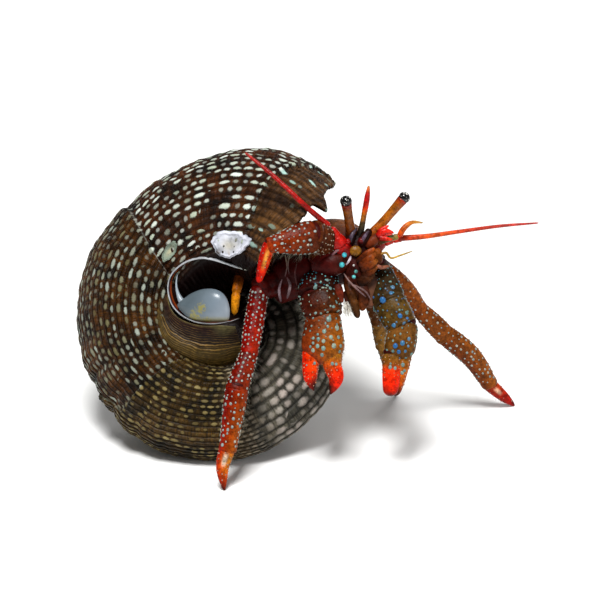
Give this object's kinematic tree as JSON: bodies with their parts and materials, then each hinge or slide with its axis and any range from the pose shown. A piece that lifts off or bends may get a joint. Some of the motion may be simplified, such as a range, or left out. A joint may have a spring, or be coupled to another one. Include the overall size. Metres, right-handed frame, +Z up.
{
  "type": "hermit crab",
  "caption": "Hermit crab walking out of a speckled top shell, claws hanging and feelers raised, as a still life-size museum model.",
  "frame": {"origin": "on the floor, under the middle of the whole model's box", "axes": "+Z up; -Y is the side that the crab's face and the shell's base look to; +X runs from the shell to the crab"},
  "size_m": [0.0398, 0.0214, 0.0267],
  "materials": {
    "shell": "satin",
    "porcelain": "glossy",
    "body_plate": "satin",
    "soft_skin": "satin",
    "claw_plate": "satin",
    "leg_plate": "satin",
    "eyestalk": "glossy",
    "eye": "glossy",
    "feeler": "satin"
  },
  "bodies": {
    "root": {"abdomen_front": "soft_skin", "abdomen_rear": "soft_skin", "antenna_left_stem": "feeler", "antenna_left_whip": "feeler", "antenna_right_stem": "feeler", "antenna_right_whip": "feeler", "antennule_left_hook": "feeler", "antennule_left_stem": "feeler", "antennule_right": "feeler", "claw_left_carpus": "claw_plate", "claw_left_coxa": "body_plate", "claw_left_finger": "claw_plate", "claw_left_hand": "claw_plate", "claw_left_merus": "claw_plate", "claw_right_carpus": "claw_plate", "claw_right_coxa": "body_plate", "claw_right_finger": "claw_plate", "claw_right_hand": "claw_plate", "claw_right_merus": "claw_plate", "eye_left": "eye", "eye_right": "eye", "eyestalk_left": "eyestalk", "eyestalk_right": "eyestalk", "leg2_left_carpus": "leg_plate", "leg2_left_coxa": "body_plate", "leg2_left_dactyl": "leg_plate", "leg2_left_merus": "leg_plate", "leg2_left_propodus": "leg_plate", "leg2_right_carpus": "leg_plate", "leg2_right_coxa": "body_plate", "leg2_right_dactyl": "leg_plate", "leg2_right_merus": "leg_plate", "leg2_right_propodus": "leg_plate", "leg3_left_carpus": "leg_plate", "leg3_left_coxa": "body_plate", "leg3_left_dactyl": "leg_plate", "leg3_left_merus": "leg_plate", "leg3_left_propodus": "leg_plate", "leg3_right_carpus": "leg_plate", "leg3_right_dactyl": "leg_plate", "leg3_right_merus": "leg_plate", "leg3_right_propodus": "leg_plate", "leg4_left": "leg_plate", "leg4_right": "leg_plate", "leg5_left": "leg_plate", "leg5_right": "leg_plate", "mouth_leg_left": "body_plate", "mouth_leg_right": "body_plate", "shell": "shell", "shell_inner_lip": "porcelain", "shell_pillar": "shell", "shield": "body_plate", "thorax": "body_plate"}
  },
  "joints": []
}
